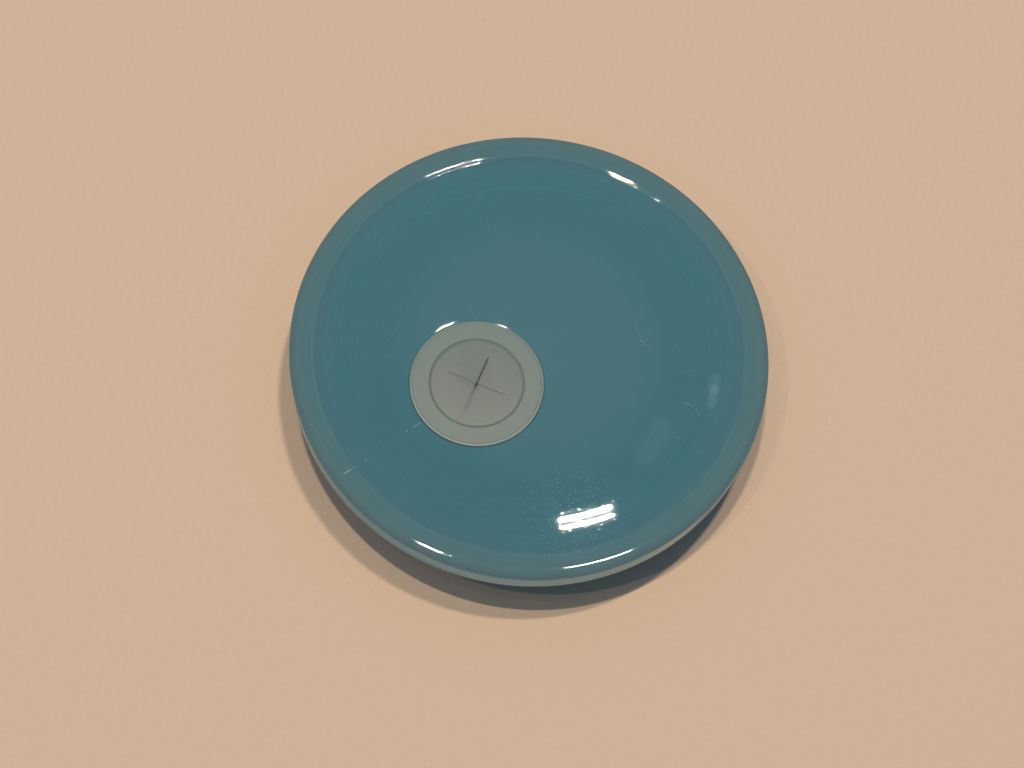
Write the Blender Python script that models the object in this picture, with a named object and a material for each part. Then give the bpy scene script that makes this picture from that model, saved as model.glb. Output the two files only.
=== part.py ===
"""Press-in lid with a straw valve, for a drinking glass.

A coloured plastic lid with a raised rim and a plug below, a silicone seal ring around the plug and a
silicone straw valve whose thin middle is cut by a cross slit into four flaps.  The lid stands on the foot
of its plug at z = 0, with the valve toward -Y.
"""

import math

import bmesh
import bpy
from mathutils import Matrix, Vector

# Lid
LID_DIAMETER = 0.0700
LID_HEIGHT = 0.0120
RIM_HEIGHT = 0.0040
RIM_BAND = 0.0034
RIM_STEP = 0.00022
RIM_STEP_RUN = 0.0006
RIM_CORNER = 0.0007
BAND_EDGE = 0.0005
FLOOR_FILLET = 0.0005
SKIRT_WALL = 0.0019
SKIRT_EDGE = 0.0005
PLATE_THICKNESS = 0.0019
CROWN_FLAT_DIAMETER = 0.0300
CROWN_RADIUS = 0.1850

# Plug below the lid and the face that rests on the rim of the glass
SEAT_THICKNESS = 0.0020
SEAT_RELIEF = 0.0004
PLUG_DIAMETER = 0.0560
PLUG_WALL = 0.0024
PLUG_LEAD_IN = 0.0008
PLUG_ROOT = 0.0008
PLUG_EDGE = 0.0003

# Seal ring in the groove around the plug
GROOVE_BOTTOM = 0.0019
GROOVE_HEIGHT = 0.0040
GROOVE_DEPTH = 0.0010
SEAL_GAP = 0.0003
SEAL_WALL = 0.0014
FIN_REACH = 0.0011
FIN_THICKNESS = 0.0006
FIN_LIFT = 0.0004
FIN_TIP = 0.0002

# Straw valve
VALVE_OFFSET = 0.0098
VALVE_GAP = 0.0003
FLANGE_DIAMETER = 0.0196
FLANGE_THICKNESS = 0.0010
FLANGE_PROUD = 0.00015
FLANGE_EDGE = 0.0003
RECESS_EDGE = 0.0003
SEAT_BOSS_WALL = 0.0019
NECK_DIAMETER = 0.0140
BORE_DIAMETER = 0.0112
LIP_DIAMETER = 0.0172
LIP_TIP_DIAMETER = 0.0128
LIP_HEIGHT = 0.0023
LIP_EDGE_HEIGHT = 0.0006
MEMBRANE_THICKNESS = 0.0008
MEMBRANE_DROP = 0.0002
RING_GROOVE_WIDTH = 0.0005
RING_GROOVE_DEPTH = 0.0004

# Cross slit and the four flaps between its arms
SLIT_LENGTH = 0.0092
SLIT_WIDTH = 0.0003
SLIT_TURN = math.radians(30.4)
FLAP_PIVOT = 0.0031
FLAP_GAP = 0.0003

# Facets
LID_SEGMENTS = 88
VALVE_SEGMENTS = 64
ARC_STEPS = 3

lid_r = LID_DIAMETER / 2
skirt_r = lid_r - SKIRT_WALL
band_r = lid_r - RIM_BAND
floor_r = band_r - RIM_STEP_RUN
floor_z = LID_HEIGHT - RIM_STEP
flat_r = CROWN_FLAT_DIAMETER / 2
top_z = floor_z + (floor_r - flat_r) ** 2 / (2 * CROWN_RADIUS)
seat_z = LID_HEIGHT - SEAT_THICKNESS
plug_r = PLUG_DIAMETER / 2
plug_in_r = plug_r - PLUG_WALL
seal_in_r = plug_r - GROOVE_DEPTH + SEAL_GAP
seal_body_r = seal_in_r + SEAL_WALL
seal_r = seal_body_r + FIN_REACH

flange_top_z = top_z + FLANGE_PROUD
flange_r = FLANGE_DIAMETER / 2
recess_r = flange_r + VALVE_GAP
recess_z = flange_top_z - FLANGE_THICKNESS - VALVE_GAP
boss_z = recess_z - PLATE_THICKNESS
boss_r = recess_r + SEAT_BOSS_WALL
neck_r = NECK_DIAMETER / 2
bore_r = BORE_DIAMETER / 2
membrane_z = flange_top_z - MEMBRANE_DROP
knuckle_r = MEMBRANE_THICKNESS / 2
pivot_z = membrane_z - knuckle_r


def crown(radius):
    """Height of the lid's top face at a distance from the lid's axis."""
    return top_z - max(0.0, radius - flat_r) ** 2 / (2 * CROWN_RADIUS)


def rounded(corners, steps=ARC_STEPS):
    """Outline through corners (r, z, fillet radius), with each fillet as a short arc."""
    points = []
    count = len(corners)
    for i, (r, z, fillet) in enumerate(corners):
        here = Vector((r, z))
        if fillet <= 0.0:
            points.append(here)
            continue
        back = (Vector(corners[i - 1][:2]) - here).normalized()
        ahead = (Vector(corners[(i + 1) % count][:2]) - here).normalized()
        half = math.acos(max(-1.0, min(1.0, back.dot(ahead)))) / 2
        middle = here + (back + ahead).normalized() * (fillet / math.sin(half))
        start = here + back * (fillet / math.tan(half)) - middle
        turn = start.angle_signed(here + ahead * (fillet / math.tan(half)) - middle)
        for step in range(steps + 1):
            spoke = start.copy()
            spoke.rotate(Matrix.Rotation(-turn * step / steps, 2))
            points.append(middle + spoke)
    return points


def material(name, colour, roughness):
    """Plain surface of one piece."""
    surface = bpy.data.materials.new(name)
    surface.use_nodes = True
    shader = surface.node_tree.nodes["Principled BSDF"]
    shader.inputs["Base Color"].default_value = (*colour, 1.0)
    shader.inputs["Roughness"].default_value = roughness
    return surface


def add_object(name, bm, surface=None, place=(0.0, 0.0, 0.0), smooth=True):
    """Object from a finished mesh, with outward faces."""
    bmesh.ops.recalc_face_normals(bm, faces=bm.faces)
    mesh = bpy.data.meshes.new(name)
    bm.to_mesh(mesh)
    bm.free()
    if smooth:
        mesh.shade_smooth()
    if surface:
        mesh.materials.append(surface)
    thing = bpy.data.objects.new(name, mesh)
    thing.location = place
    bpy.context.scene.collection.objects.link(thing)
    return thing


def lathe(name, outline, segments, surface=None, place=(0.0, 0.0, 0.0)):
    """Solid turned about Z from an outline of (r, z) points; one that starts on the axis ends on it."""
    bm = bmesh.new()
    chain = [bm.verts.new((r, 0.0, z)) for r, z in outline]
    on_axis = outline[0][0] < 1e-9
    ends = chain[1:] if on_axis else chain[1:] + chain[:1]
    edges = [bm.edges.new(pair) for pair in zip(chain, ends)]
    bmesh.ops.spin(bm, geom=chain + edges, cent=(0, 0, 0), axis=(0, 0, 1), angle=math.tau,
                   steps=segments, use_merge=True)
    bmesh.ops.remove_doubles(bm, verts=bm.verts, dist=1e-6)
    return add_object(name, bm, surface, place)


def prism(name, plan, bottom, top, place):
    """Upright solid from an outline in plan."""
    bm = bmesh.new()
    base = bm.faces.new([bm.verts.new((x, y, bottom)) for x, y in plan])
    grown = bmesh.ops.extrude_face_region(bm, geom=[base])["geom"]
    lifted = [v for v in grown if isinstance(v, bmesh.types.BMVert)]
    bmesh.ops.translate(bm, verts=lifted, vec=(0.0, 0.0, top - bottom))
    return add_object(name, bm, place=place, smooth=False)


def combine(target, tool, operation):
    """Exact Boolean with a hidden tool."""
    step = target.modifiers.new(tool.name, "BOOLEAN")
    step.operation = operation
    step.solver = "EXACT"
    step.object = tool
    tool.hide_render = True
    tool.display_type = "WIRE"


def build_lid(surface, valve_place):
    """Lid moulding: crowned top, raised rim with a skirt, plug with the seal groove, valve seat."""
    groove_r = plug_r - GROOVE_DEPTH
    groove_top = GROOVE_BOTTOM + GROOVE_HEIGHT
    relief_r = seal_r + SEAL_GAP
    relief_z = seat_z + SEAT_RELIEF
    arc = [flat_r + (floor_r - flat_r) * i / 6 for i in range(6)]
    under = [plug_in_r * i / 4 for i in (3, 2, 1)]
    under_z = crown(plug_in_r) - PLATE_THICKNESS
    edge = rounded([
        (arc[-1], crown(arc[-1]), 0.0),
        (floor_r, floor_z, FLOOR_FILLET),
        (band_r, LID_HEIGHT, BAND_EDGE),
        (lid_r, LID_HEIGHT, RIM_CORNER),
        (lid_r, LID_HEIGHT - RIM_HEIGHT, SKIRT_EDGE),
        (skirt_r, LID_HEIGHT - RIM_HEIGHT, SKIRT_EDGE),
        (skirt_r, seat_z, 0.0),
        (relief_r, seat_z, 0.0),
        (relief_r - SEAT_RELIEF, relief_z, 0.0),
        (plug_r, relief_z, PLUG_ROOT),
        (plug_r, groove_top, 0.0),
        (groove_r, groove_top, 0.0),
        (groove_r, GROOVE_BOTTOM, 0.0),
        (plug_r, GROOVE_BOTTOM, 0.0),
        (plug_r, PLUG_LEAD_IN, 0.0),
        (plug_r - PLUG_LEAD_IN, 0.0, 0.0),
        (plug_in_r, 0.0, PLUG_EDGE),
        (plug_in_r, under_z, PLUG_ROOT),
        (under[0], crown(under[0]) - PLATE_THICKNESS, 0.0),
    ])
    outline = [(0.0, top_z)]
    outline += [(r, crown(r)) for r in arc[:-1]]
    outline += [tuple(p) for p in edge]
    outline += [(r, crown(r) - PLATE_THICKNESS) for r in under[1:]]
    outline += [(0.0, top_z - PLATE_THICKNESS)]
    lid = lathe("lid_shell", outline, LID_SEGMENTS, surface)

    overlap = PLATE_THICKNESS / 2
    boss = lathe("valve_seat_boss", rounded([
        (0.0, top_z - overlap, 0.0),
        (boss_r, top_z - overlap, 0.0),
        (boss_r, boss_z, RECESS_EDGE),
        (0.0, boss_z, 0.0),
    ]), VALVE_SEGMENTS, None, valve_place)
    hole_r = neck_r + VALVE_GAP
    flare = []
    for step in (3, 2, 1, 0):
        turn = math.radians(30 * step)
        flare.append((recess_r + RECESS_EDGE * (1 - math.cos(turn)),
                      top_z - RECESS_EDGE * (1 - math.sin(turn))))
    seat = lathe("valve_seat_cut", [
        (0.0, top_z + overlap),
        (recess_r + RECESS_EDGE, top_z + overlap),
        *flare,
        (recess_r, recess_z),
        (hole_r, recess_z),
        (hole_r, boss_z - overlap),
        (0.0, boss_z - overlap),
    ], VALVE_SEGMENTS, None, valve_place)
    combine(lid, boss, "UNION")
    combine(lid, seat, "DIFFERENCE")
    return lid


def build_seal(surface):
    """Seal ring with two fins that lean upward."""
    low = GROOVE_BOTTOM + SEAL_GAP
    high = GROOVE_BOTTOM + GROOVE_HEIGHT - SEAL_GAP
    outline = [(seal_in_r, high), (seal_body_r, high)]
    for root in (low + (high - low) * 0.80, low + (high - low) * 0.36):
        outline += [
            (seal_body_r, root),
            (seal_r - FIN_TIP, root + FIN_LIFT),
            (seal_r, root + FIN_LIFT - FIN_THICKNESS / 2),
            (seal_body_r, root - FIN_THICKNESS),
        ]
    outline += [(seal_body_r, low), (seal_in_r, low)]
    return lathe("seal_ring", outline, LID_SEGMENTS, surface)


def build_valve(surface, valve_place):
    """Straw valve: flange in the recess, neck through the hole, lower lip, slit opening in the middle."""
    lip_r = LIP_DIAMETER / 2
    lip_top = boss_z - VALVE_GAP
    lip_end = lip_top - LIP_HEIGHT
    groove_z = flange_top_z - RING_GROOVE_DEPTH
    half_groove = RING_GROOVE_WIDTH / 2
    under_z = membrane_z - MEMBRANE_THICKNESS
    corners = rounded([
        (0.0, membrane_z, 0.0),
        (neck_r - half_groove, membrane_z, 0.0),
        (neck_r - half_groove * 0.6, groove_z, 0.0),
        (neck_r + half_groove * 0.6, groove_z, 0.0),
        (neck_r + half_groove, flange_top_z, 0.0),
        (flange_r, flange_top_z, FLANGE_EDGE),
        (flange_r, flange_top_z - FLANGE_THICKNESS, 0.0),
        (neck_r, flange_top_z - FLANGE_THICKNESS, 0.0),
        (neck_r, lip_top, 0.0),
        (lip_r, lip_top, 0.0),
        (lip_r, lip_top - LIP_EDGE_HEIGHT, 0.0),
        (LIP_TIP_DIAMETER / 2, lip_end, 0.0),
        (bore_r, lip_end, 0.0),
        (bore_r, under_z, 0.0),
        (0.0, under_z, 0.0),
    ])
    valve = lathe("straw_valve", [tuple(p) for p in corners], VALVE_SEGMENTS, surface, valve_place)

    side = FLAP_PIVOT + knuckle_r + FLAP_GAP
    cut = SLIT_LENGTH / math.sqrt(2) - side
    plan = [
        (side, cut), (cut, side), (-cut, side), (-side, cut),
        (-side, -cut), (-cut, -side), (cut, -side), (side, -cut),
    ]
    opening = prism("slit_opening_cut", plan, under_z - knuckle_r, membrane_z + knuckle_r, valve_place)
    opening.rotation_euler.z = SLIT_TURN + math.radians(45)
    combine(valve, opening, "DIFFERENCE")
    return valve


def flap_mesh():
    """Flap with its rounded root along X on the hinge axis and its point toward +Y."""
    bm = bmesh.new()
    half_width = FLAP_PIVOT - knuckle_r - FLAP_GAP / 2
    point_y = FLAP_PIVOT - SLIT_WIDTH / math.sqrt(2)
    section = [(point_y, -knuckle_r), (point_y, knuckle_r)]
    for step in range(7):
        angle = math.radians(90 + 30 * step)
        section.append((knuckle_r * math.cos(angle), knuckle_r * math.sin(angle)))
    side = bm.faces.new([bm.verts.new((-half_width, y, z)) for y, z in section])
    grown = bmesh.ops.extrude_face_region(bm, geom=[side])["geom"]
    moved = [v for v in grown if isinstance(v, bmesh.types.BMVert)]
    bmesh.ops.translate(bm, verts=moved, vec=(2 * half_width, 0.0, 0.0))
    for hand in (-1, 1):
        geom = bm.verts[:] + bm.edges[:] + bm.faces[:]
        bmesh.ops.bisect_plane(bm, geom=geom, dist=1e-8, plane_co=(0.0, point_y, 0.0),
                               plane_no=(hand, 1.0, 0.0), clear_outer=True)
        rim = [e for e in bm.edges if e.is_boundary]
        bmesh.ops.contextual_create(bm, geom=rim)
    bmesh.ops.remove_doubles(bm, verts=bm.verts, dist=1e-7)
    bmesh.ops.dissolve_degenerate(bm, edges=bm.edges, dist=1e-7)
    return bm


def build_flaps(surface, valve_axis):
    """Four flaps, each hinged along the chord between two arms of the slit."""
    flaps = []
    for index in range(4):
        facing = SLIT_TURN + math.radians(45 + 90 * index)
        place = (FLAP_PIVOT * math.cos(facing), FLAP_PIVOT * math.sin(facing), pivot_z)
        flap = add_object(f"valve_flap_{index + 1}", flap_mesh(), surface, place, smooth=False)
        flap.rotation_euler.z = facing + math.radians(90)
        flap.parent = valve_axis
        flaps.append(flap)
    return flaps


def main():
    for thing in list(bpy.data.objects):
        bpy.data.objects.remove(thing, do_unlink=True)
    valve_place = (0.0, -VALVE_OFFSET, 0.0)
    valve_axis = bpy.data.objects.new("valve_axis", None)
    valve_axis.location = valve_place
    bpy.context.scene.collection.objects.link(valve_axis)
    build_lid(material("blue_plastic", (0.070, 0.165, 0.190), 0.25), valve_place)
    build_seal(material("seal_silicone", (0.40, 0.43, 0.40), 0.50))
    build_valve(material("valve_silicone", (0.21, 0.235, 0.205), 0.50), valve_place)
    build_flaps(material("flap_silicone", (0.21, 0.235, 0.205), 0.50), valve_axis)


main()
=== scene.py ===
import math

import bpy
from mathutils import Matrix, Quaternion, Vector


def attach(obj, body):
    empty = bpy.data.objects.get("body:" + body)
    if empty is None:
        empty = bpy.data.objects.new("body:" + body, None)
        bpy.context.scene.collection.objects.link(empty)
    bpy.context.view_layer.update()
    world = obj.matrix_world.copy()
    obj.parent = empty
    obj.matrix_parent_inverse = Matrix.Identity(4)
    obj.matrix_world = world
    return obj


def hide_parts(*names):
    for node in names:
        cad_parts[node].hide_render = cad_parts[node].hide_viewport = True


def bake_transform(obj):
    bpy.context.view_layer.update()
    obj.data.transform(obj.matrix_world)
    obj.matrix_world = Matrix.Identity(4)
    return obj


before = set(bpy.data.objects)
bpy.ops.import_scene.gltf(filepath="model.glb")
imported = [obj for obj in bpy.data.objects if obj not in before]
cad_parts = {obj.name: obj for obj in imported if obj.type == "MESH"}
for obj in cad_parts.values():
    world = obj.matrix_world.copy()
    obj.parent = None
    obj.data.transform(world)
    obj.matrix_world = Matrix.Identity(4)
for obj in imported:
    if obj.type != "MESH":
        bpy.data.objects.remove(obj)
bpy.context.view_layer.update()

MM = 0.001

# Sizes of the part in millimetres: names in _R are radii, names in _Z are heights above the table
LID_R = 35.0
LID_H = 12.0
RIM_H = 4.0
RIM_FALL = 0.32
CREST_R = 33.85
BAND_R = 31.55
FLOOR_R = 31.15
FLOOR_Z = 11.808
FLAT_R = 15.0
CROWN_R = 185.0
SINK_R = 26.4
SINK_WIDTH = 1.3
SINK_DEPTH = 0.0012
PLATE = 1.9
SKIRT_R = 33.1
SEAT_Z = 10.0
SEAT_IN_R = 30.1
RELIEF_R = 29.7
RELIEF_RISE = 0.4
PLUG_R = 28.0
PLUG_IN_R = 25.6
PLUG_LEAD_IN = 0.8
GROOVE_LOW_Z = 1.9
GROOVE_HIGH_Z = 5.9
GROOVE_DEPTH = 1.0
SEAL_IN_R = 27.3
SEAL_BODY_R = 28.7
SEAL_TIP_R = 29.8
SEAL_LOW_Z = 2.2
SEAL_HIGH_Z = 5.6
FIN_ROOTS = (0.80, 0.36)
VALVE_Y = -9.8
HOLE_R = 7.3
RECESS_R = 9.745
RECESS_LIP = 0.40
RECESS_LIP_FALL = 0.085
BOSS_R = 12.0
FLANGE_R = 9.72
FLANGE_THICKNESS = 1.0
NECK_R = 7.0
BORE_R = 5.6
BORE_MIDDLE_Z = 9.0
LIP_R = 8.6
LIP_TIP_R = 6.4
LIP_EDGE = 0.6
LIP_H = 2.3
LIP_GAP = 0.3
DISC_R = 6.72
PIVOT = 3.1
TOP_Z = 12.472
FLANGE_Z = TOP_Z + 0.15
DISC_Z = FLANGE_Z - 0.02
MEMBRANE_Z = FLANGE_Z - 0.2
RECESS_Z = FLANGE_Z - 1.3
BOSS_Z = RECESS_Z - PLATE

# Points around a ring, rings across the lid's face and its underside, and rings along a flap
SEGMENTS = 192
FACE_RINGS = 32
UNDER_RINGS = 16
FLAP_RINGS = 40

# Distance from a fillet to the point that keeps the flat beside it flat under smooth shading
HOLD = 0.012

# The slit: its turn in degrees, where it ends along its arms, the reach of its wider middle, its gap below,
# and for each of its four arms half the gap, the depth and width of the softened edge, and the extra half gap
# at the middle
SLIT_TURN = 30.4
SLIT_END = (3.9, 4.65)
MOUTH_R = 0.75
SLIT_FOOT = 0.004
SLIT_ARMS = ((0.015, 0.055, 0.12), (0.050, 0.085, 0.12), (0.012, 0.060, 0.12), (0.014, 0.100, 0.26))
SLIT_MOUTH = (0.0, 0.0, 0.03, 0.09)

# The flaps: how far each tip hangs, the shared dip of the disc, the soft outer edge, the first ring's radius
# and the shares of the quarter turn at which points lie close beside the slit
DROOP = (0.02, 0.16, 0.03, 0.04)
DISC_SINK = 0.24
EDGE_WIDTH = 0.30
EDGE_DROP = 0.09
FLAP_TIP_R = 0.12
FRINGE = [0.0, 0.006, 0.014, 0.024, 0.038, 0.056, 0.078]

# Viewing direction of the photograph
AZIMUTH, ELEVATION, ROLL = math.radians(44.63), math.radians(67.61), math.radians(8.69)
RIGHT = Vector((math.cos(AZIMUTH), math.sin(AZIMUTH), 0.0))
AWAY = Vector((-math.sin(AZIMUTH), math.cos(AZIMUTH), 0.0))
UP = Vector((0.0, 0.0, 1.0))


# Shapes

def crown(x, y):
    """Height of the lid's face, with a faint sink ring over the plug's wall."""
    r = math.hypot(x, y)
    sink = SINK_DEPTH * math.exp(-((r - SINK_R) / SINK_WIDTH) ** 2)
    return TOP_Z - max(0.0, r - FLAT_R) ** 2 / (2 * CROWN_R) - sink


def smooth(a, b, x):
    """Soft step from 0 at a to 1 at b."""
    t = min(1.0, max(0.0, (x - a) / (b - a)))
    return t * t * (3 - 2 * t)


def rounded(corners, steps=6):
    """Open path through corners (r, z, fillet radius)."""
    points = []
    for i, (r, z, fillet) in enumerate(corners):
        here = Vector((r, z))
        if fillet <= 0.0:
            points.append((r, z))
            continue
        back = (Vector(corners[i - 1][:2]) - here).normalized()
        ahead = (Vector(corners[i + 1][:2]) - here).normalized()
        half = math.acos(max(-1.0, min(1.0, back.dot(ahead)))) / 2
        reach = fillet / math.tan(half)
        middle = here + (back + ahead).normalized() * (fillet / math.sin(half))
        start = here + back * reach - middle
        turn = start.angle_signed(here + ahead * reach - middle)
        points.append(tuple(here + back * (reach + HOLD)))
        for step in range(steps + 1):
            spoke = start.copy()
            spoke.rotate(Matrix.Rotation(-turn * step / steps, 2))
            points.append(tuple(middle + spoke))
        points.append(tuple(here + ahead * (reach + HOLD)))
    return points


def ring(r, z, centre_y=0.0, follow=None):
    """One ring of points in millimetres; follow(x, y) gives a height to add."""
    points = []
    for k in range(SEGMENTS):
        angle = math.tau * k / SEGMENTS
        x, y = r * math.cos(angle), centre_y + r * math.sin(angle)
        points.append((x, y, z + (follow(x, y) if follow else 0.0)))
    return points


def add_mesh(name, points, faces, material):
    """Smooth-shaded piece from points in millimetres."""
    mesh = bpy.data.meshes.new(name)
    mesh.from_pydata([tuple(c * MM for c in p) for p in points], [], faces)
    mesh.validate()
    mesh.update()
    mesh.shade_smooth()
    mesh.materials.append(material)
    piece = bpy.data.objects.new(name, mesh)
    bpy.context.scene.collection.objects.link(piece)
    return piece


def ring_body(name, rings, material):
    """Closed body through rings, the last joined to the first."""
    count = len(rings[0])
    points = [p for one in rings for p in one]
    faces = []
    for i in range(len(rings)):
        a, b = i * count, (i + 1) % len(rings) * count
        for k in range(count):
            n = (k + 1) % count
            faces.append((a + k, a + n, b + n, b + k))
    return add_mesh(name, points, faces, material)


def make_lid(material):
    """Lid from the valve's hole over the face, the rim and the plug to the underside and the boss."""
    def sag(weight):
        return lambda x, y: weight * (crown(x, y) - TOP_Z)

    rings = []
    hole_z = (RECESS_Z + BOSS_Z) / 2
    inner_r = RECESS_R + 1.0
    for r, z in rounded([
        (HOLE_R, hole_z, 0), (HOLE_R, RECESS_Z, 0.2), (RECESS_R, RECESS_Z, 0.25),
        (RECESS_R, TOP_Z - RECESS_LIP_FALL, 0.02), (RECESS_R + RECESS_LIP, TOP_Z, 3.0), (inner_r, TOP_Z, 0),
    ]):
        weight = (z - RECESS_Z) / (TOP_Z - RECESS_Z)
        rings.append(ring(r, z, VALVE_Y, sag(max(0.0, weight))))

    outer_r = FLOOR_R - 0.95
    for i in range(1, FACE_RINGS):
        t = i / FACE_RINGS
        rings.append(ring(inner_r + (outer_r - inner_r) * t, TOP_Z, VALVE_Y * (1 - t), sag(1.0)))

    rim_z = LID_H - RIM_H
    relief_z = SEAT_Z + RELIEF_RISE
    groove_r = PLUG_R - GROOVE_DEPTH
    under_r = PLUG_IN_R - 1.6
    for r, z in rounded([
        (outer_r, crown(outer_r, 0), 0), (FLOOR_R - 0.3, FLOOR_Z - 0.016, 0.02), (FLOOR_R, FLOOR_Z, 0.8),
        (BAND_R, LID_H, 1.1), (CREST_R, LID_H, 3.2), (LID_R, LID_H - RIM_FALL, 0.5),
        (LID_R, rim_z, 0.5), (SKIRT_R, rim_z, 0.5), (SKIRT_R, SEAT_Z, 0.3),
        (SEAT_IN_R, SEAT_Z, 0.1), (RELIEF_R, relief_z, 0.1), (PLUG_R, relief_z, 0.8),
        (PLUG_R, GROOVE_HIGH_Z, 0.15), (groove_r, GROOVE_HIGH_Z, 0.1),
        (groove_r, GROOVE_LOW_Z, 0.1), (PLUG_R, GROOVE_LOW_Z, 0.15),
        (PLUG_R, PLUG_LEAD_IN, 0.3), (PLUG_R - PLUG_LEAD_IN, 0.0, 0.2), (PLUG_IN_R, 0.0, 0.3),
        (PLUG_IN_R, crown(PLUG_IN_R, 0) - PLATE, 0.8), (under_r, crown(under_r, 0) - PLATE, 0),
    ]):
        rings.append(ring(r, z))

    plate_z = TOP_Z - PLATE
    boss_out_r = BOSS_R + 0.8
    for i in range(1, UNDER_RINGS):
        t = i / UNDER_RINGS
        rings.append(ring(under_r + (boss_out_r - under_r) * t, plate_z, VALVE_Y * t, sag(1.0)))
    for r, z in rounded([
        (boss_out_r, plate_z, 0), (BOSS_R, plate_z, 0.4), (BOSS_R, BOSS_Z, 0.3),
        (HOLE_R, BOSS_Z, 0.2), (HOLE_R, hole_z, 0),
    ])[:-1]:
        weight = (z - BOSS_Z) / (plate_z - BOSS_Z)
        rings.append(ring(r, z, VALVE_Y, sag(min(1.0, max(0.0, weight)))))
    return ring_body("lid", rings, material)


def make_seal(material):
    """Seal ring with two fins that lean upward."""
    middle_z = (SEAL_LOW_Z + SEAL_HIGH_Z) / 2
    corners = [(SEAL_IN_R, middle_z, 0), (SEAL_IN_R, SEAL_HIGH_Z, 0.25), (SEAL_BODY_R, SEAL_HIGH_Z, 0.25)]
    for share in FIN_ROOTS:
        root = SEAL_LOW_Z + (SEAL_HIGH_Z - SEAL_LOW_Z) * share
        corners += [
            (SEAL_BODY_R, root, 0.12), (SEAL_TIP_R - 0.2, root + 0.4, 0.05),
            (SEAL_TIP_R, root + 0.1, 0.14), (SEAL_BODY_R, root - 0.6, 0.2),
        ]
    corners += [(SEAL_BODY_R, SEAL_LOW_Z, 0.25), (SEAL_IN_R, SEAL_LOW_Z, 0.25), (SEAL_IN_R, middle_z, 0)]
    return ring_body("seal", [ring(r, z) for r, z in rounded(corners, 4)[:-1]], material)


def make_valve(material):
    """Valve's grommet: ring groove around the disc, flange with a fine line near its edge, neck and lip."""
    lip_top = BOSS_Z - LIP_GAP
    lip_foot = lip_top - LIP_H
    flange_foot = FLANGE_Z - FLANGE_THICKNESS
    edge_z = FLANGE_Z - 0.02
    groove_r = DISC_R + 0.02
    groove_z = MEMBRANE_Z - 0.8
    line_r = FLANGE_R - 0.38
    corners = [
        (BORE_R, BORE_MIDDLE_Z, 0), (BORE_R, groove_z, 0), (groove_r, groove_z, 0),
        (groove_r, FLANGE_Z - 0.14, 0.02), (DISC_R + 0.10, FLANGE_Z - 0.12, 0.05),
        (DISC_R + 0.24, FLANGE_Z, 0.10), (line_r - 0.10, FLANGE_Z, 0.06),
        (line_r - 0.02, FLANGE_Z - 0.06, 0.03), (line_r + 0.06, edge_z, 0.03),
        (FLANGE_R, edge_z, 0.14), (FLANGE_R, flange_foot, 0.15), (NECK_R, flange_foot, 0.2),
        (NECK_R, lip_top, 0.2), (LIP_R, lip_top, 0.2), (LIP_R, lip_top - LIP_EDGE, 0.4),
        (LIP_TIP_R, lip_foot, 0.2), (BORE_R, lip_foot, 0.15), (BORE_R, BORE_MIDDLE_Z, 0),
    ]
    return ring_body("valve", [ring(r, z, VALVE_Y) for r, z in rounded(corners, 5)[:-1]], material)


def make_flap(index, material):
    """Quarter of the valve's thin middle, between two arms of the slit."""
    first = math.radians(SLIT_TURN + 90 * index)
    e0 = Vector((math.cos(first), math.sin(first)))
    e1 = Vector((-math.sin(first), math.cos(first)))
    across = FRINGE + [0.1 + 0.8 * i / 14 for i in range(15)] + [1 - s for s in reversed(FRINGE)]
    radii = [FLAP_TIP_R + (DISC_R - FLAP_TIP_R) * (i / FLAP_RINGS) for i in range(FLAP_RINGS)]
    radii += [DISC_R - 0.12, DISC_R - 0.06, DISC_R]
    after = (index + 1) % 4
    near_gap, near_depth, near_width = SLIT_ARMS[index]
    next_gap, next_depth, next_width = SLIT_ARMS[after]
    top, bottom = [], []
    for rho in radii:
        opening = 1 - smooth(*SLIT_END, rho)
        mouth = math.exp(-((rho / MOUTH_R) ** 2))
        edge = EDGE_DROP * smooth(DISC_R - EDGE_WIDTH, DISC_R, rho) ** 1.5
        for s in across:
            p, q = rho * math.cos(s * math.pi / 2), rho * math.sin(s * math.pi / 2)
            near_dent = near_depth * math.exp(-((q / near_width) ** 2))
            next_dent = next_depth * math.exp(-((p / next_width) ** 2))
            foot = e0 * (p + SLIT_FOOT * opening * s) + e1 * (q + SLIT_FOOT * opening * (1 - s))
            q += (near_gap + SLIT_MOUTH[index] * mouth) * opening * (1 - s)
            p += (next_gap + SLIT_MOUTH[after] * mouth) * opening * s
            place = e0 * p + e1 * q
            inward = max(0.0, (PIVOT + 0.3) * math.sqrt(2) - p - q) / (PIVOT * math.sqrt(2))
            sink = DISC_SINK * (1 - rho / DISC_R) ** 1.4 + DROOP[index] * inward ** 1.5
            dent = opening * (near_dent + next_dent)
            top.append((place.x, VALVE_Y + place.y, DISC_Z - sink - dent - edge))
            bottom.append((foot.x, VALVE_Y + foot.y, MEMBRANE_Z - 0.78 - 0.3 * sink))
    wide, long = len(across), len(radii)
    half = len(top)
    faces = []
    for i in range(long - 1):
        for j in range(wide - 1):
            a, b, c, d = i * wide + j, (i + 1) * wide + j, (i + 1) * wide + j + 1, i * wide + j + 1
            faces.append((a, b, c, d))
            faces.append((half + d, half + c, half + b, half + a))
    border = list(range(wide)) + [i * wide + wide - 1 for i in range(1, long)]
    border += [(long - 1) * wide + j for j in range(wide - 2, -1, -1)]
    border += [i * wide for i in range(long - 2, 0, -1)]
    for k, a in enumerate(border):
        b = border[(k + 1) % len(border)]
        faces.append((a, b, half + b, half + a))
    flap = add_mesh(f"flap_{index + 1}", top + bottom, faces, material)
    flap.data.set_sharp_from_angle(angle=math.radians(50))
    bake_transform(flap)
    return flap


# Materials

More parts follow.
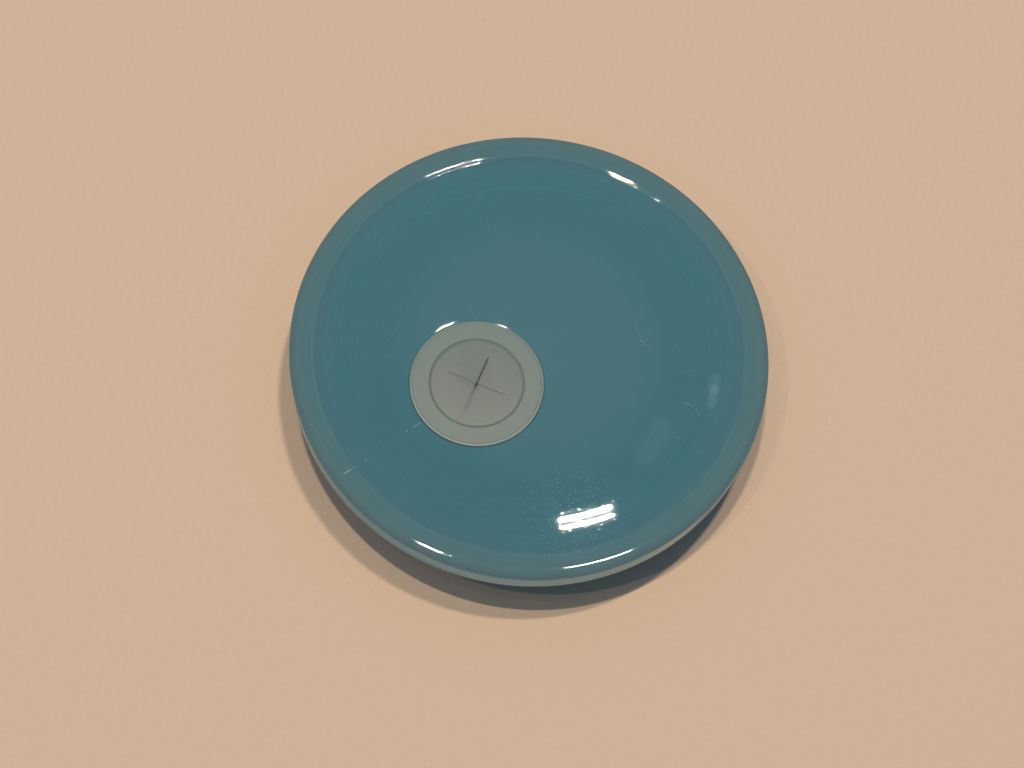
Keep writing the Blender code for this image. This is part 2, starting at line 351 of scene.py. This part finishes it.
class Nodes:
    """Short way to add and join shader nodes."""

    def __init__(self, name):
        self.material = bpy.data.materials.new(name)
        self.material.use_nodes = True
        self.tree = self.material.node_tree
        self.shader = self.tree.nodes["Principled BSDF"]
        scaled = self.add("ShaderNodeVectorMath", operation="SCALE")
        self.link(self.add("ShaderNodeTexCoord").outputs["Object"], scaled.inputs[0])
        scaled.inputs["Scale"].default_value = 1 / MM
        self.mm = scaled.outputs[0]

    def add(self, kind, **settings):
        node = self.tree.nodes.new(kind)
        for key, value in settings.items():
            setattr(node, key, value)
        return node

    def link(self, a, b):
        self.tree.links.new(a, b)

    def put(self, socket, value):
        if isinstance(value, bpy.types.NodeSocket):
            self.link(value, socket)
        else:
            socket.default_value = value

    def set(self, **values):
        """Give the shader's sockets values or links; underscores in the names stand for spaces."""
        for name, value in values.items():
            self.put(self.shader.inputs[name.replace("_", " ")], value)

    def math(self, operation, *values, clamp=False):
        node = self.add("ShaderNodeMath", operation=operation, use_clamp=clamp)
        for socket, value in zip(node.inputs, values):
            self.put(socket, value)
        return node.outputs[0]

    def times(self, *values):
        """Product of two or more values."""
        total = values[0]
        for value in values[1:]:
            total = self.math("MULTIPLY", total, value)
        return total

    def vector(self, operation, *values, out=0):
        node = self.add("ShaderNodeVectorMath", operation=operation)
        for socket, value in zip(node.inputs, values):
            self.put(socket, value)
        return node.outputs[out]

    def noise(self, scale, detail=2.0, roughness=0.5, place=None):
        node = self.add("ShaderNodeTexNoise")
        self.link(place or self.mm, node.inputs["Vector"])
        node.inputs["Scale"].default_value = scale
        node.inputs["Detail"].default_value = detail
        node.inputs["Roughness"].default_value = roughness
        return node.outputs[0]

    def remap(self, value, low, high, to_low=0.0, to_high=1.0):
        node = self.add("ShaderNodeMapRange")
        for socket, given in zip(node.inputs, (value, low, high, to_low, to_high)):
            self.put(socket, given)
        return node.outputs[0]

    def ramp(self, value, stops):
        node = self.add("ShaderNodeValToRGB")
        self.link(value, node.inputs[0])
        marks = node.color_ramp.elements
        while len(marks) < len(stops):
            marks.new(0.5)
        for mark, (at, colour) in zip(marks, stops):
            mark.position = at
            mark.color = colour
        return node.outputs[0]

    def mix(self, factor, a, b):
        node = self.add("ShaderNodeMix", data_type="RGBA")
        self.put(node.inputs[0], factor)
        self.put(node.inputs[6], a)
        self.put(node.inputs[7], b)
        return node.outputs[2]

    def bump(self, height, strength, distance, normal=None):
        node = self.add("ShaderNodeBump")
        self.put(node.inputs["Height"], height)
        node.inputs["Strength"].default_value = strength
        node.inputs["Distance"].default_value = distance
        if normal:
            self.link(normal, node.inputs["Normal"])
        return node.outputs[0]

    def across(self, value):
        """Vector along which a noise changes with value only."""
        node = self.add("ShaderNodeCombineXYZ")
        self.link(value, node.inputs[0])
        return node.outputs[0]

    def height(self):
        """Height in millimetres."""
        node = self.add("ShaderNodeSeparateXYZ")
        self.link(self.mm, node.inputs[0])
        return node.outputs[2]

    def flat_radius(self, centre=(0.0, 0.0, 0.0)):
        """Distance in millimetres from an upright axis."""
        level = self.vector("MULTIPLY", self.vector("SUBTRACT", self.mm, centre), (1.0, 1.0, 0.0))
        return self.vector("LENGTH", level, out=1)

    def scratches(self, sets):
        """Fine hairlines in sets of (direction in degrees, share of the surface)."""
        total = None
        for turn, share in sets:
            spin = self.add("ShaderNodeMapping")
            self.link(self.mm, spin.inputs["Vector"])
            spin.inputs["Rotation"].default_value = (0.0, 0.0, math.radians(turn))
            spin.inputs["Scale"].default_value = (0.16, 5.0, 0.05)
            line = self.remap(self.noise(1.0, 1.0, 0.5, spin.outputs[0]), 0.78 - share, 0.86 - share)
            total = self.math("MAXIMUM", total, line) if total else line
        return total

    def hairlines(self, pairs, width):
        """Thin lines on the lid's face between pairs of (x, y) points."""
        level = self.vector("MULTIPLY", self.mm, (1.0, 1.0, 0.0))
        total = None
        for (x0, y0), (x1, y1) in pairs:
            run = (x1 - x0, y1 - y0, 0.0)
            offset = self.vector("SUBTRACT", level, (x0, y0, 0.0))
            along = self.vector("DOT_PRODUCT", offset, run, out=1)
            along = self.math("DIVIDE", along, run[0] ** 2 + run[1] ** 2, clamp=True)
            foot = self.add("ShaderNodeVectorMath", operation="SCALE")
            foot.inputs[0].default_value = run
            self.link(along, foot.inputs["Scale"])
            away = self.vector("LENGTH", self.vector("SUBTRACT", offset, foot.outputs[0]), out=1)
            line = self.remap(away, width, width * 0.3)
            total = self.math("MAXIMUM", total, line) if total else line
        return total

    def specks(self, scale, size, share):
        """Tiny round specks on the lid's face, at most one in each of scale cells to a millimetre."""
        cells = self.add("ShaderNodeTexVoronoi", voronoi_dimensions="2D")
        self.link(self.mm, cells.inputs["Vector"])
        cells.inputs["Scale"].default_value = scale
        parts = self.add("ShaderNodeSeparateXYZ")
        self.link(cells.outputs["Color"], parts.inputs[0])
        dot = self.remap(cells.outputs["Distance"], size * scale, size * scale * 0.5)
        kept = self.times(self.math("LESS_THAN", parts.outputs[0], share), parts.outputs[1])
        return self.times(dot, kept)


def srgb(r, g, b):
    """Linear colour from 8-bit values."""
    def linear(c):
        c /= 255
        return c / 12.92 if c <= 0.04045 else ((c + 0.055) / 1.055) ** 2.4
    return (*(linear(c) for c in (r, g, b)), 1.0)


# Marks on the lid's face, as (from, to): scratches, and a broken weld line from the rim to the valve. The
# painted streaks, pale painted reflections of the lamps on faint rings in the face, also have a width and a
# share of pale colour. Most specks lie around one spot, where they are painted glints beside a highlight; the
# rest are dust.
SCRATCHES = (
    ((8.5, 13.6), (10.3, 13.8)), ((12.0, 17.2), (12.9, 17.5)), ((16.5, 15.5), (16.8, 16.9)),
    ((19.9, 12.7), (21.2, 13.5)), ((21.2, 13.5), (22.9, 13.3)), ((23.0, 8.3), (24.0, 8.7)),
    ((26.9, 9.6), (27.7, 9.9)),
)
FAINT_SCRATCHES = (((4.4, 15.3), (7.5, 14.2)), ((7.5, 14.2), (8.5, 13.6)))
WELD_LINE = (((-0.15, -33.7), (0.0, -29.4)), ((0.0, -22.3), (0.1, -19.9)))
PAINTED_STREAKS = (
    ((19.6, 18.9), (20.9, 17.6), 1.3, 0.10), ((20.9, 17.6), (22.4, 15.8), 1.3, 0.12),
    ((21.0, 7.8), (23.0, 3.0), 2.4, 0.05),
)
GLINT_SPOT = (24.0, -10.5, 0.0)

# Depths of the fine surface texture, in metres
PIT_DEPTH = 0.0000006
GRAIN_DEPTH = 0.0000004
RING_DEPTH = 0.0000010
RUBBER_DEPTH = 0.000012
FLOOR_DEPTH = 0.00005

TINT_R = 36.0


def lid_plastic():
    """Glossy plastic, duller towards the rim in painted light and shade, with painted light on the lower wall,
    flow rings, scuffs, scratches, painted reflection streaks, dust and painted glints.
    """
    n = Nodes("lid_plastic")
    radius = n.flat_radius()
    # Colour by distance from the middle: the paler middle and the paler band by the rim are painted light,
    # standing in for light the clear plastic reflects and lets through, and the last stop darkens the outer
    # corner as painted shade.
    tint = n.ramp(n.math("DIVIDE", radius, TINT_R), [
        (0.0, srgb(83, 120, 124)), (0.40, srgb(80, 119, 123)), (0.62, srgb(70, 115, 121)),
        (0.79, srgb(68, 114, 120)), (0.853, srgb(75, 115, 120)), (0.885, srgb(85, 117, 118)),
        (0.935, srgb(89, 117, 116)), (0.96, srgb(88, 109, 107)),
    ])
    # Painted light: the lower outer wall is paler teal, standing in for light that comes through the plastic
    # and off the floor.
    painted_wall_light = n.math("MULTIPLY", n.remap(n.height(), 11.7, 11.0), n.remap(radius, 34.0, 34.8), clamp=True)
    tint = n.mix(painted_wall_light, tint, srgb(110, 174, 184))
    rings = n.noise(1.1, 3.0, 0.6, n.across(radius))
    flow = n.times(n.remap(rings, 0.35, 0.65), n.remap(radius, 20.0, 28.0, 0.03, 0.20))
    tint = n.mix(flow, tint, srgb(104, 130, 132))
    scuffs = n.scratches(((20.0, 0.0), (75.0, 0.01), (140.0, 0.0)))
    tint = n.mix(n.times(scuffs, 0.06), tint, srgb(140, 165, 165))
    weld = n.times(n.hairlines(WELD_LINE, 0.10), n.remap(n.noise(0.9, 1.0), 0.42, 0.55), 0.6)
    tint = n.mix(weld, tint, srgb(190, 205, 200))
    pale = srgb(170, 190, 185)
    worn = n.remap(n.noise(2.2, 2.0), 0.35, 0.60)
    for marks, width, share in ((SCRATCHES, 0.09, 0.26), (FAINT_SCRATCHES, 0.12, 0.12)):
        tint = n.mix(n.times(n.hairlines(marks, width), worn, share), tint, pale)
    # Painted reflections: soft pale streaks where the lamps' sheen lies on faint rings in the face.
    for start, end, width, share in PAINTED_STREAKS:
        painted_streak = n.hairlines(((start, end),), width)
        tint = n.mix(n.times(painted_streak, painted_streak, share), tint, pale)
    # Specks: around one spot they are painted glints beside the lamps' highlight, elsewhere they are sparse
    # dust.
    painted_glints = n.remap(n.flat_radius(GLINT_SPOT), 8.5, 2.0, 0.0, 0.9)
    elsewhere = n.remap(n.noise(0.10, 2.0), 0.5, 0.65, 0.0, 0.15)
    dust_and_glints = n.math("ADD", painted_glints, elsewhere)
    tint = n.mix(n.times(n.specks(2.4, 0.085, 0.35), dust_and_glints), tint, srgb(200, 214, 208))
    pits = n.remap(n.noise(3.0, 0.0), 0.70, 0.85)
    grain = n.bump(n.noise(3.0, 1.0), 1.0, GRAIN_DEPTH)
    grain = n.bump(pits, 1.0, PIT_DEPTH, grain)
    grain = n.bump(rings, 1.0, RING_DEPTH, grain)
    n.set(
        Base_Color=tint, Roughness=n.math("ADD", n.times(scuffs, 0.03), 0.017), IOR=1.49, Normal=grain,
        Subsurface_Weight=0.8, Subsurface_Radius=(0.7, 1.0, 1.0), Subsurface_Scale=0.003,
    )
    return n.material


def set_rubber(n, colour, roughness, depth):
    """Milky silicone; depth is how far light goes in, in metres."""
    n.set(
        Base_Color=colour, Roughness=roughness, IOR=1.41,
        Subsurface_Weight=0.4, Subsurface_Radius=(1.0, 1.0, 0.9), Subsurface_Scale=depth,
        Normal=n.bump(n.noise(5.0, 3.0, 0.6), 1.0, RUBBER_DEPTH),
    )


def valve_rubber():
    """Silicone of the valve: disc, groove and flange in slightly different tones, with painted shade towards
    the far side, in the groove and on a spot in the middle, and painted light on the flange's near edge.
    """
    n = Nodes("valve_silicone")
    centre = (0.0, VALVE_Y, 0.0)
    radius = n.flat_radius(centre)
    far = n.vector("DOT_PRODUCT", n.vector("SUBTRACT", n.mm, centre), tuple(AWAY), out=1)
    # Painted shade: the disc grows darker towards the far side.
    disc = n.ramp(n.remap(far, -5.0, 5.0), [
        (0.0, srgb(131, 131, 119)), (0.45, srgb(124, 126, 117)), (1.0, srgb(114, 120, 112)),
    ])
    # Painted shade: a soft dark spot on the disc beside the middle, towards the far side.
    shade_spot = n.flat_radius(tuple(Vector(centre) - RIGHT * 0.8 + AWAY * 1.6))
    disc = n.mix(n.remap(shade_spot, 3.6, 0.4, 0.0, 0.46), disc, srgb(98, 104, 98))
    # Painted shade: the flange grows darker towards the far side.
    flange = n.ramp(n.remap(far, -9.0, 9.0), [(0.0, srgb(126, 132, 122)), (1.0, srgb(116, 129, 119))])
    colour = n.mix(n.remap(radius, 6.5, 7.3), disc, flange)
    # Painted shade in the ring groove, darker on the near side.
    groove = n.times(n.remap(radius, 6.5, 6.7), n.remap(radius, 7.1, 6.9), n.remap(far, 4.0, -4.0, 0.15, 0.6))
    colour = n.mix(groove, colour, srgb(104, 122, 119))
    # Painted light: the flange's outer edge is paler on the near side.
    edge = n.times(n.remap(radius, 9.35, 9.5), n.remap(far, -1.0, -7.0))
    colour = n.mix(edge, colour, srgb(142, 150, 140))
    speck = n.remap(n.noise(2.5, 3.0, 0.7), 0.35, 0.65, 0.0, 0.10)
    colour = n.mix(speck, colour, srgb(100, 106, 100))
    n.set(Specular_IOR_Level=0.35)
    set_rubber(n, colour, n.remap(n.noise(1.2, 3.0), 0.3, 0.7, 0.46, 0.56), 0.0007)
    return n.material


def seal_rubber():
    """Silicone of the seal ring, faintly mottled."""
    n = Nodes("seal_silicone")
    mottle = n.noise(0.8, 4.0)
    colour = n.ramp(mottle, [(0.3, srgb(160, 167, 162)), (0.7, srgb(176, 182, 177))])
    set_rubber(n, colour, n.remap(mottle, 0.3, 0.7, 0.42, 0.55), 0.0008)
    return n.material


def floor_material():
    """Plain pale floor with a faint grain."""
    n = Nodes("floor")
    colour = n.ramp(n.noise(1.5, 4.0, 0.6), [(0.3, srgb(206, 175, 146)), (0.7, srgb(210, 179, 150))])
    n.set(
        Base_Color=colour, Roughness=0.75, Specular_IOR_Level=0.2,
        Normal=n.bump(n.noise(2.0, 3.0), 0.3, FLOOR_DEPTH),
    )
    return n.material


plastic = lid_plastic()
valve_silicone = valve_rubber()
seal_silicone = seal_rubber()

lid = make_lid(plastic)
seal = make_seal(seal_silicone)
valve = make_valve(valve_silicone)
for piece, node, slot in (
    (lid, "lid_shell", "lid_plastic"),
    (seal, "seal_ring", "seal_silicone"),
    (valve, "straw_valve", "valve_silicone"),
):
    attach(piece, "lid")
    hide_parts(node)
for number in range(4):
    flap = make_flap(number, valve_silicone)
    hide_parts(f"valve_flap_{number + 1}")

# Floor, light and camera

FLOOR_SIZE = 4.0
FLOOR_DROP = 0.02
LAMP_DISTANCE = 1.2
LAMP_COLOUR = (1.0, 0.908, 0.755)
SKY_STRENGTH = 0.21
SKY_LOW = (0.25, 0.54, 0.97, 1.0)
SKY_HIGH = (0.59, 1.14, 1.94, 1.0)
SKY_KNEE = 0.6
CAMERA_DISTANCE = 0.300
SENSOR_WIDTH = 36.0
PIXELS_PER_MM = 6.912
PICTURE_WIDTH = 1024
TARGET = RIGHT * -1.86 + AWAY * -5.77 + UP * 11.25

bpy.ops.mesh.primitive_plane_add(size=FLOOR_SIZE, location=(0.0, 0.0, -FLOOR_DROP * MM))
floor = bpy.context.object
floor.name = "floor"
floor.data.materials.append(floor_material())


def add_lamp(name, direction, power, length, width, along=(1.0, 0.0), shift=0.0):
    """Bar lamp aimed at the lid; direction is (right, away, up), along is its length's (right, away)."""
    data = bpy.data.lights.new(name, "AREA")
    data.shape = "RECTANGLE"
    data.size = length
    data.size_y = width
    data.energy = power
    data.color = LAMP_COLOUR
    lamp = bpy.data.objects.new(name, data)
    toward = (RIGHT * direction[0] + AWAY * direction[1] + UP * direction[2]).normalized()
    side = toward.cross(RIGHT * along[0] + AWAY * along[1]).normalized()
    turn = Matrix((side.cross(toward), side, toward)).transposed()
    lamp.location = toward * LAMP_DISTANCE + side * shift
    lamp.rotation_euler = turn.to_euler()
    bpy.context.scene.collection.objects.link(lamp)


add_lamp("lamp_left", (-0.105, 0.045, 1.0), 5.49, 0.060, 0.010)
for name, shift in (("lamp_back_a", -0.0095), ("lamp_back_b", 0.0095)):
    add_lamp(name, (0.109, 0.195, 1.0), 2.80, 0.080, 0.006, (0.91, 0.41), shift)
add_lamp("lamp_side", (-0.377, -0.245, 1.0), 1.15, 0.030, 0.010)
add_lamp("lamp_spot", (-0.295, -0.120, 1.0), 0.30, 0.014, 0.005)

world = bpy.data.worlds.new("studio")
bpy.context.scene.world = world
world.use_nodes = True
sky = world.node_tree
background = sky.nodes["Background"]
background.inputs["Strength"].default_value = SKY_STRENGTH
way = sky.nodes.new("ShaderNodeSeparateXYZ")
sky.links.new(sky.nodes.new("ShaderNodeTexCoord").outputs["Generated"], way.inputs[0])
fade = sky.nodes.new("ShaderNodeValToRGB")
fade.color_ramp.elements[0].color = SKY_LOW
fade.color_ramp.elements[1].color = SKY_HIGH
fade.color_ramp.elements[1].position = SKY_KNEE
sky.links.new(way.outputs[2], fade.inputs[0])
sky.links.new(fade.outputs[0], background.inputs["Color"])

camera = bpy.data.objects.new("camera", bpy.data.cameras.new("camera"))
camera.data.sensor_width = SENSOR_WIDTH
camera.data.lens = PIXELS_PER_MM * (CAMERA_DISTANCE / MM) / PICTURE_WIDTH * SENSOR_WIDTH
back = (-AWAY) * math.cos(ELEVATION) + UP * math.sin(ELEVATION)
camera.location = TARGET * MM + back * CAMERA_DISTANCE
camera.rotation_euler = (back.to_track_quat("Z", "Y") @ Quaternion((0.0, 0.0, 1.0), ROLL)).to_euler()
bpy.context.scene.collection.objects.link(camera)
bpy.context.scene.camera = camera
bpy.context.scene.view_settings.view_transform = "Standard"
